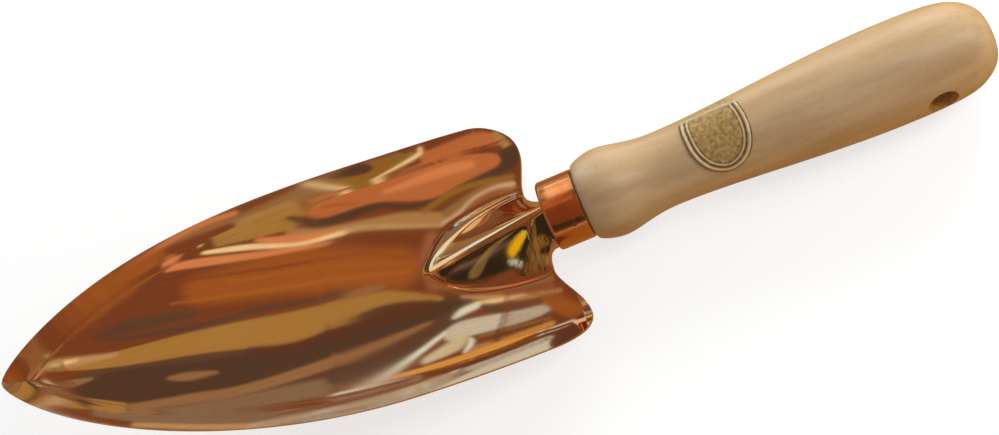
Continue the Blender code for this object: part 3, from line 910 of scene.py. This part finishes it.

# Painted reflection streaks seen in the blade, from the first laid to the last: tone, soft edge,
# then points of (ahead, across, half width) along each. Lengths are in millimetres on the blade.
PAINTED_REFLECTION_STREAKS = (
    # Hollow, middle
    ("wood", 2.7, (108.5, 15.5, 4.6), (79, 13.5, 7.3), (49.5, 5, 6.8)),
    ("wood_light", 0.5, (117.5, 13.5, 0.3), (91.5, 10.5, 0.5), (68, 7.5, 0.8), (46.5, 2.5, 0.5)),
    ("wood_light", 0.4, (99.5, 16, 0.3), (72.5, 13, 0.3), (44.5, 5, 0.3)),
    ("wood_dark", 0.5, (114.5, 20, 0.3), (90, 17.5, 0.5), (60, 13.5, 0.3), (45.5, 7, 0.3)),
    ("mauve_rust", 1.6, (37, 11, 1.9), (40.5, 3.5, 2.7), (40.5, -5, 1.9)),
    ("dark_brown", 1.6, (140, 8.5, 1.0), (128, 9.5, 2.2), (112, 8.5, 1.0)),
    # Hollow, near side
    ("dark_brown", 1.5, (150, -5, 2), (135, -9, 7.5), (105, -14, 11), (75, -18, 12), (50, -16, 9),
     (34, -15, 3.5)),
    ("ochre", 0.3, (157, 3, 1.2), (136, 0, 2.6), (109, -1.5, 4.2), (83.5, -4.5, 5.5),
     (61.5, -5, 4.6), (53.5, -5, 2.8), (40, -10, 0.9)),
    ("pale_ochre", 0.9, (157.5, 3, 0.9), (151.5, 3, 1.6), (136, 1.5, 0.6)),
    ("cream", 0.9, (156.5, 3.2, 0.2), (152.5, 3.2, 0.7), (147, 2.8, 0.2)),
    ("dark", 0.4, (148, -8, 1.1), (137.5, -9, 5), (116.5, -13.5, 6.2), (85.5, -15, 5),
     (58, -12, 6.2), (34.5, -14, 1)),
    ("maroon", 1.1, (98.5, -8.5, 1.2), (84, -11, 1.5), (56.5, -9.5, 2.4), (43.5, -11, 1.4)),
    ("tan", 0.6, (122, -11, 0.7), (116.5, -12, 1.5), (109, -13, 0.6)),
    ("tan", 0.4, (154.5, -4.5, 0.8), (151, -4.5, 1.5), (143.5, -4.5, 0.5)),
    ("tan", 0.6, (134.5, -18, 1.2), (117, -20, 1.8), (100.5, -21.5, 1.8), (69.5, -19.5, 1.9),
     (45, -17, 0.6)),
    ("mauve", 1.1, (133, -21.5, 1.2), (106, -25.5, 2.6), (80, -28, 3.3)),
    ("dark_brown", 0.8, (76.5, -25.5, 2.3), (56, -24.5, 2.9), (40.5, -19, 1.5)),
    ("white", 0.4, (76.5, -32, 0.5), (66, -32, 1.2), (41, -22, 0.7)),
    ("beige", 0.4, (40.5, -24, 1.4), (36, -23, 2.9), (17, -25.5, 2.2), (8.5, -25.5, 1.4)),
    ("white", 0.4, (37.5, -18, 0.6), (34.5, -17, 1.2), (29.5, -16.5, 1.1)),
    ("brown", 0.4, (31.5, -27.5, 0.4), (10, -29.5, 0.5)),
    ("sand", 0.6, (35.5, -31, 1.1), (12, -31.5, 0.7)),
    ("pale_olive", 0.8, (49, -29.5, 1.2), (39.5, -27.5, 2.2), (36.5, -26, 1.5)),
    ("white", 0.4, (37, -31.0, 0.5), (34.5, -28.5, 0.9), (34.5, -27, 0.5)),
    # Near band
    ("mauve", 0.3, (141.5, -17, 2), (125, -24.5, 2.3), (106, -31.5, 3.1), (72.5, -37.5, 3.6),
     (43, -41, 2), (13, -40.5, 1.2), (3, -38.5, 1.2)),
    ("orange", 0.4, (58.5, -32, 0.8), (34.5, -33, 1.3), (10, -31.5, 1)),
    ("beige", 0.4, (55.5, -38.5, 1.6), (49, -39, 2.5), (27, -39, 2.9), (12.5, -38, 2.7)),
    ("pale_ochre", 0.4, (132, -25, 0.8), (114, -31.5, 1), (98, -36, 1), (87, -37, 0.8)),
    ("ochre", 0.4, (158, -7.5, 1.1), (145.5, -13, 1.9), (135, -16.5, 0.6)),
    # Tip
    ("deep_rust", 0.4, (165.5, 0, 1), (162, -2, 2), (155, -6.5, 0.9)),
    ("mustard", 0.3, (164.5, 1.5, 0.6), (158.5, 1.5, 0.6)),
    ("dark_brown", 0.4, (137.5, 6.5, 0.5), (109.5, 4, 1.2), (91, 4.5, 0.9), (65.5, 1.5, 0.9)),
    ("tan", 0.4, (67.5, 1.5, 0.7), (63, 1, 1.4), (56, 0.5, 0.5)),
    # Far band
    ("brown", 0.6, (126, 26.5, 1.4), (106.5, 31.5, 2.3), (92.5, 33, 2.4), (61.5, 38, 2.7),
     (38.5, 38, 2.6)),
    ("salmon", 0.6, (30.5, 36.5, 1.8), (14, 36.5, 2.3), (8, 35, 1.8)),
    ("sand", 0.6, (7, 36, 1.3), (5, 31.5, 1.3)),
    ("mustard", 0.3, (58.5, 37, 1.8), (47, 37.5, 2.6), (34.5, 38, 1.7)),
    ("dark", 0.4, (60, 39.5, 0.6), (51.5, 39.5, 1.7), (48, 39, 0.9)),
    ("cream", 0.4, (31, 39.5, 0.7), (33, 38, 0.6), (49, 35, 0.2)),
    ("cream", 0.4, (57.5, 35, 0.7), (68.5, 40, 0.7)),
    ("sand", 0.4, (93.5, 33, 0.9), (75, 35, 1.5)),
    ("deep_rust", 0.4, (125.5, 26, 0.8), (116, 29, 1.4), (93.5, 33, 0.9)),
    ("light_salmon", 0.3, (125.5, 27.5, 0.4), (105.5, 34.5, 0.8), (91, 36.5, 0.6)),
    ("wood", 1.6, (160.5, 6, 1.5), (146, 15.5, 4.0), (128, 23.5, 3.6), (116, 29, 1.5)),
    # Hollow, far side
    ("ochre", 0.4, (99.5, 29, 1), (78.5, 30.5, 2.7), (74, 32, 2.4)),
    ("sand", 0.7, (78, 27, 1.3), (66.5, 24, 1.3), (44.5, 20.5, 2.1), (30.5, 16, 1.6)),
    ("light_salmon", 0.4, (88, 27, 0.7), (79, 24.5, 1.6), (62, 22.5, 0.8)),
    ("cream", 0.3, (104, 27, 0.6), (91, 25.5, 0.9), (77, 22.5, 0.6), (62, 22, 0.8)),
    ("pale_ochre", 0.3, (61.5, 22.5, 0.8), (53.5, 21, 1), (32.5, 14, 0.8)),
    ("light_salmon", 0.4, (116, 24, 0.4), (109, 24.5, 1.3), (86, 22, 1), (67.5, 20, 0.5)),
    ("dark", 0.4, (77, 31.5, 0.7), (68.5, 27.5, 1.9), (49.5, 27, 1), (43.5, 24.5, 0.9),
     (35.5, 23, 1), (20, 25.5, 1.4), (11.5, 25, 2), (6.5, 27.5, 3.5), (4, 30, 1.9)),
    ("salmon", 0.4, (70, 31, 1.3), (65.5, 31.5, 3.1), (50, 31.5, 3.2), (33.5, 29.5, 5.8),
     (25, 30, 5.2), (12, 29, 2.7), (10.5, 28.5, 1.4)),
    ("light_salmon", 1.0, (46, 30.5, 0.7), (28, 31, 1.7), (18, 30, 1.3)),
    ("wood", 0.4, (66, 32, 0.4), (56, 30, 0.4)),
    ("brown", 0.5, (9, 19, 1.3), (17.5, 20, 1.7), (30, 17, 1.7)),
    ("mustard", 0.3, (7, 21.5, 1), (23, 23.5, 1), (37, 20.5, 0.9)),
    ("pink", 0.3, (7.5, 19, 0.9), (13, 20, 0.6), (20.5, 19, 0.5), (26.5, 16, 0.6),
     (32.5, 14.5, 0.5)),
    ("rust", 0.3, (8.5, 16.5, 1), (15.5, 18, 1.1), (23, 15.5, 1), (32.5, 10, 1.9), (36, 6, 1.3)),
    # Ridge
    ("brown", 1.2, (32.5, 4, 1.5), (17.5, 6, 5.5), (10.5, 7, 5.6), (4.5, 9, 4.7)),
    ("sand", 0.8, (41, 1.5, 1.0), (36, 5, 2.4), (30, 8, 2.6), (20, 10.8, 2.8), (9.5, 12, 2.6)),
    ("cream", 0.7, (38, 3.6, 1.0), (33, 7.4, 1.3), (27, 10.2, 1.1), (19, 12.2, 0.9),
     (11, 13.2, 0.5)),
    ("white", 0.6, (40.5, 1.4, 1.2), (36, 4.8, 1.0), (32, 7.8, 0.5)),
    ("pale_ochre", 0.7, (11, 4.5, 1.5), (8.5, 3.5, 1.6)),
    ("night", 0.3, (37.5, -1.5, 0.9), (33, -4, 2.4), (26, -5, 4.1), (12, -5, 5.3), (1, -4.5, 4.5)),
    ("olive", 0.3, (29, -7, 0.6), (26.5, -6.5, 1.5), (20.5, -3.5, 0.6)),
    ("gold", 0.3, (14, -6.5, 0.9), (13, -5.5, 1.7), (8, -3.5, 0.8)),
    ("mustard", 0.4, (7.5, -7.5, 1.3), (3.5, -6.5, 1.3)),
    ("white", 0.3, (15.5, -8.5, 0.8), (13, -10, 0.9)),
    ("brown", 0.5, (8, -10, 1.4), (5, -11.5, 1.4)),
    ("cream", 0.25, (41, 0.4, 0.6), (27.5, 0.3, 0.6), (14, 0.3, 0.6)),
    ("pink", 0.3, (14, 0.3, 0.6), (7, 0.3, 0.7), (0, 0.3, 0.8)),
    # Foot of the ridge and the near corner
    ("tan", 0.3, (42.5, -1, 0.7), (36.5, -7.5, 0.8), (28, -12, 0.9), (15, -15.5, 0.9),
     (6, -16.5, 0.9)),
    ("rust", 0.3, (25, -14.5, 0.5), (14.5, -17.5, 0.8), (6.5, -19, 0.9)),
    ("pale_ochre", 0.3, (33.5, -12, 0.5), (18, -18.5, 1.1), (4.5, -21.5, 0.7)),
    ("cream", 0.5, (30, -15.5, 0.2), (24, -17.3, 0.7), (15, -18.8, 0.3)),
    ("dark_brown", 0.3, (29, -17.5, 0.5), (23.5, -20.5, 1.4), (11, -23, 1.1)),
    ("wood", 0.9, (9, -23, 1.7), (6, -26, 3), (2.5, -30, 2.6)),
    ("maroon", 0.8, (10, -39, 2.4), (4.5, -37, 3.6), (0, -34, 2.2)),
    ("beige", 0.4, (14.5, -33.4, 0.5), (7.5, -33.4, 0.6), (3.5, -33, 0.4)),
)


def streak_cover(places, curve, soft):
    """How much of a painted reflection streak covers each place (ahead, across), 0 to 1;
    millimetres.
    """
    outside = np.full(len(places), np.inf)
    for start, end in zip(curve, curve[1:]):
        step = end[:2] - start[:2]
        along = ((places - start[:2]) @ step) / max(float(step @ step), 1e-9)
        along = np.clip(along, 0.0, 1.0)
        gap = np.hypot(*(places - start[:2] - along[:, None] * step).T)
        outside = np.minimum(outside, gap - (start[2] + along * (end[2] - start[2])))
    return smooth(0.5 - 0.5 * outside / soft)


def fine_grain(places):
    """Fine waves in the painted reflections across the blade, which wander along it; millimetres.
    """
    ahead, across = places.T
    grain = np.sin(2.9 * across + 0.11 * ahead + 1.5 * np.sin(0.05 * ahead))
    return grain + 0.6 * np.sin(6.1 * across - 0.07 * ahead + 2.0)


def painted_reflection_colour(places):
    """Linear colour of the painted reflection at each place (ahead, across), as the bronze shows
    it; millimetres.
    """
    grain = fine_grain(places)[:, None]
    colour = np.array(TONES["deep_rust"]) * (1.0 + GROUND_GRAIN * grain)
    for tone, soft, *points in PAINTED_REFLECTION_STREAKS:
        curve = flowing(points, 10)
        reach = curve[:, 2].max() + soft
        close = (places > curve[:, :2].min(0) - reach) & (places < curve[:, :2].max(0) + reach)
        close = np.flatnonzero(close.all(-1))
        cover = streak_cover(places[close], curve, soft)[:, None]
        wanted = np.array(TONES[tone]) * (1.0 + STREAK_GRAIN * grain[close])
        colour[close] += (wanted - colour[close]) * cover
    return colour


def thrown_back(ahead, across):
    """Places on the blade, and the direction in which each throws back the line of sight."""
    place = sheet_top(ahead, across)
    normal = sheet_normal(ahead, across)
    view = place - EYE
    view /= np.linalg.norm(view, axis=-1, keepdims=True)
    return place, view - 2.0 * (view * normal).sum(-1, keepdims=True) * normal


def glow_material():
    """Light in each sheet's own painted reflection colours."""
    material = bpy.data.materials.new("painted_reflections")
    material.use_nodes = True
    nodes = material.node_tree.nodes
    links = material.node_tree.links
    nodes.clear()
    painted = nodes.new("ShaderNodeVertexColor")
    painted.layer_name = "streaks"
    glow = nodes.new("ShaderNodeEmission")
    output = nodes.new("ShaderNodeOutputMaterial")
    links.new(painted.outputs["Color"], glow.inputs["Color"])
    links.new(glow.outputs["Emission"], output.inputs["Surface"])
    return material


def glow_sheet(name, vertices, faces, emission, material):
    """A glowing sheet of painted reflection, which only polished metal sees."""
    used, faces = np.unique(faces, return_inverse=True)
    sheet = mesh_object(name, vertices[used], faces.reshape(-1, 4), material)
    layer = sheet.data.color_attributes.new("streaks", "FLOAT_COLOR", "POINT")
    layer.data.foreach_set("color", np.hstack([emission[used], np.ones((len(used), 1))]).ravel())
    for kind in ("camera", "diffuse", "transmission", "volume_scatter", "shadow"):
        setattr(sheet, "visible_" + kind, False)


def square_grid(start, end, count):
    """(x, y) points of a square grid, and the quads between them."""
    lines = np.linspace(start, end, count)
    return np.array([(x, y) for y in lines for x in lines]), grid_faces(count, count)


def finer(grid, times):
    """The same grid with more columns, set evenly between its own."""
    columns = np.arange(grid.shape[1])
    wanted = np.linspace(0, columns[-1], times * columns[-1] + 1)
    return np.array([np.interp(wanted, columns, row) for row in grid])


def build_painted_reflection_sheets(material):
    """Painted reflection sheets just over the blade, laid out from the camera's place by the mirror
    law, as the blade shows them.
    """
    ahead, across = [finer(grid, SHEET_FINER) for grid in whole_grid()]
    faces = grid_faces(*ahead.shape)
    ahead = ahead.ravel()
    across = across.ravel()
    # Painted reflection colours, divided by the bronze's own colour
    emission = painted_reflection_colour(np.stack([ahead, across], -1) * 1000.0) / BRONZE
    ridge, dish = ridge_and_dish(ahead, across)
    inset = inset_from_rim(ahead, across)
    fillet = FILLET_CLEARANCE * foot_fillet(ahead, across)
    in_dish = ridge - dish < -fillet
    off_crest = np.abs(across) > FLANKS_START
    zones = (
        ("hollow", in_dish & (inset > BAND_WIDTH + CREASE_CLEARANCE)),
        ("band", in_dish & (inset < BAND_WIDTH - CREASE_CLEARANCE)),
        ("flank", (ridge - dish > fillet) & off_crest),
        ("fillet", off_crest),
        ("crest", np.abs(across) < CREST_HALF),
    )
    # Each place on the blade throws the camera's line of sight onto its painted reflection sheet
    place, away = thrown_back(ahead, across)
    rise = np.maximum(away[:, 2:3], 1e-3)
    rising = (away[:, 2][faces] > LEAST_RISE).all(-1)
    for level, (name, zone) in enumerate(zones):
        height = SHEET_HEIGHT + SHEET_STEP * level
        hit = place + away * (height - place[:, 2:3]) / rise
        corners = hit[faces]
        spread = np.linalg.norm(corners - np.roll(corners, 1, axis=1), axis=-1).max(axis=-1)
        kept = zone[faces].all(-1) & rising & (spread < WIDEST_QUAD)
        glow_sheet("glow_" + name, hit, faces[kept], emission, material)


def build_dome(material):
    """A glowing dome of painted reflection: brown, and pale on the far side above the horizon."""
    grid, faces = square_grid(-1.0, 1.0, 61)
    square = (grid**2).sum(-1)
    sky = np.stack([2 * grid[:, 0], 2 * grid[:, 1], 1 - square], -1) / (1 + square)[:, None]
    far_side, rise = sky[:, 1:2], sky[:, 2:3]
    pale = smooth((far_side - PALE_FAR_SIDE[0]) / PALE_FAR_SIDE[1])
    pale = pale * smooth((rise - PALE_ABOVE[0]) / PALE_ABOVE[1])
    pale = pale * smooth((PALE_BELOW[0] - rise) / PALE_BELOW[1])
    glow = BROWN_ROOM + (PALE_ROOM - BROWN_ROOM) * pale
    faces = faces[(square[faces] < 1.0).all(-1)]
    glow_sheet("glow_dome", ROOM_CENTRE + ROOM_RADIUS * sky, faces, glow, material)


def build_backing(material):
    """A glowing brown backing over the painted reflection sheets: a painted reflection that shows
    where they leave gaps.
    """
    grid, faces = square_grid(0.0, 1.0, 9)
    plain = np.tile(BACKING_BROWN / BRONZE, (len(grid), 1))
    for (west, east), (south, north) in BACKING_REACHES:
        spots = np.stack([
            west + (east - west) * grid[:, 0],
            south + (north - south) * grid[:, 1],
            np.full(len(grid), BACKING_HEIGHT),
        ], -1)
        glow_sheet("glow_backing", spots, faces, plain, material)


def build_low_sheet(material):
    """A glowing brown sheet under the part: a painted brown reflection that keeps the metal's lower
    sides dark.
    """
    grid, faces = square_grid(-1.0, 1.0, 21)
    edge = smooth((np.abs(grid).max(-1)[:, None] - LOW_BROWN_SHARE) / LOW_FADE_SHARE)
    glow = LOW_BROWN + (PALE_ROOM - LOW_BROWN) * edge
    centre = np.array((FRONT_X, 0.0, CAD_BOX[0].z + LOW_LIFT))
    level = np.hstack([grid, np.zeros((len(grid), 1))])
    glow_sheet("glow_low", centre + LOW_REACH * level, faces, glow, material)


# Camera, floor and light

WHITE = (1.0, 1.0, 1.0, 1.0)
DIFFUSE_DAYLIGHT = 0.33
FLOOR_HALF = 3.0
FLOOR_CENTRE = (-0.15, 0.0, CAD_BOX[0].z - 0.0001)
FLOOR_WARM = (0.72, 0.27, 0.03, 1.0)
FLOOR_GREY = (0.36, 0.36, 0.36, 1.0)
FLOOR_GLOW = 0.67
STRIP_X = FRONT_X + 0.008


def look_through(location, right, up, back, lens):
    data = bpy.data.cameras.new("camera")
    camera = new_object("camera", data)
    rotation = Matrix((right, up, back)).transposed().to_4x4()
    camera.matrix_world = Matrix.Translation(location) @ rotation
    data.sensor_width = 36.0
    data.lens = lens
    data.clip_start = 0.01
    data.clip_end = 20.0
    bpy.context.scene.camera = camera


def area_light(name, location, target, size, energy, colour=(1.0, 1.0, 1.0), glossy=False):
    data = bpy.data.lights.new(name, "AREA")
    data.shape = "RECTANGLE"
    data.size, data.size_y = size
    data.energy = energy
    data.color = colour
    light = new_object(name, data)
    light.location = location
    light.visible_glossy = glossy
    direction = Vector(target) - Vector(location)
    light.rotation_euler = direction.to_track_quat("-Z", "Y").to_euler()
    return light


def shown_to_rays(nodes, links):
    """1 for the rays that show the surface itself: from the camera, off gloss, through glass."""
    path = nodes.new("ShaderNodeLightPath")
    shown = path.outputs["Is Camera Ray"]
    for ray in ("Is Glossy Ray", "Is Transmission Ray"):
        either = nodes.new("ShaderNodeMath")
        either.operation = "MAXIMUM"
        links.new(shown, either.inputs[0])
        links.new(path.outputs[ray], either.inputs[1])
        shown = either.outputs[0]
    return shown


def build_world():
    """White to the rays that show it, and dimmer as a light."""
    world = bpy.data.worlds.new("studio")
    bpy.context.scene.world = world
    world.use_nodes = True
    nodes = world.node_tree.nodes
    links = world.node_tree.links
    background = nodes["Background"]
    background.inputs["Color"].default_value = WHITE
    level = nodes.new("ShaderNodeMapRange")
    level.inputs["To Min"].default_value = DIFFUSE_DAYLIGHT
    level.inputs["To Max"].default_value = 1.0
    links.new(shown_to_rays(nodes, links), level.inputs["Value"])
    links.new(level.outputs[0], background.inputs["Strength"])


def build_floor():
    """White to the rays that show it, and warm brown in the light that it throws back."""
    mesh = bpy.data.meshes.new("floor")
    builder = bmesh.new()
    bmesh.ops.create_grid(builder, x_segments=1, y_segments=1, size=FLOOR_HALF)
    builder.to_mesh(mesh)
    builder.free()
    floor = new_object("floor", mesh)
    floor.location = FLOOR_CENTRE
    material, nodes, links, shader = new_material("white_floor", 0.0, 0.9)
    shader.inputs["Specular IOR Level"].default_value = 0.0
    shader.inputs["Emission Color"].default_value = WHITE
    shown = shown_to_rays(nodes, links)
    tint = nodes.new("ShaderNodeMix")
    tint.data_type = "RGBA"
    tint.inputs["A"].default_value = FLOOR_WARM
    tint.inputs["B"].default_value = FLOOR_GREY
    links.new(shown, tint.inputs["Factor"])
    links.new(tint.outputs["Result"], shader.inputs["Base Color"])
    level = nodes.new("ShaderNodeMath")
    level.operation = "MULTIPLY"
    level.inputs[1].default_value = FLOOR_GLOW
    links.new(shown, level.inputs[0])
    links.new(level.outputs[0], shader.inputs["Emission Strength"])
    mesh.materials.append(material)


build_blade(bronze_material())
build_handle(beech_material(), shaded_bore_material())
build_ferrule(copper_material())
build_pin(iron_material())
build_badge(foil_material())

painted_reflections = glow_material()
build_painted_reflection_sheets(painted_reflections)
build_dome(painted_reflections)
build_backing(painted_reflections)
build_low_sheet(painted_reflections)
build_world()
build_floor()
look_through(
    location=EYE,
    right=(0.91518, -0.28133, -0.28862),
    up=(0.38270, 0.83122, 0.40326),
    back=(0.12646, -0.47951, 0.86838),
    lens=52.926,
)
area_light("key", (0.25, 0.88, 0.38), (-0.10, 0.0, 0.0), (1.0, 0.6), 12.5)
area_light("fill", (-0.10, -0.60, 0.65), (-0.12, 0.0, 0.0), (0.6, 0.5), 1.1, (1.0, 0.91, 0.78))
area_light("butt", (0.45, -0.05, 0.35), (0.0, 0.0, 0.0), (0.3, 0.3), 2.2)
area_light(
    "sheen", (0.15, -0.10, 0.55), (-0.115, 0.0, 0.0), (0.12, 0.12), 0.35, (1.0, 0.95, 0.88),
    glossy=True,
)
strip = area_light(
    "ferrule_strip", (STRIP_X, 0.0150, 0.0202), (STRIP_X, 0.0030, 0.0096), (0.014, 0.020), 0.0008,
    (0.85, 0.93, 1.0), glossy=True,
)
strip.visible_diffuse = False
strip.visible_camera = False

view = bpy.context.scene.view_settings
view.view_transform = "Standard"
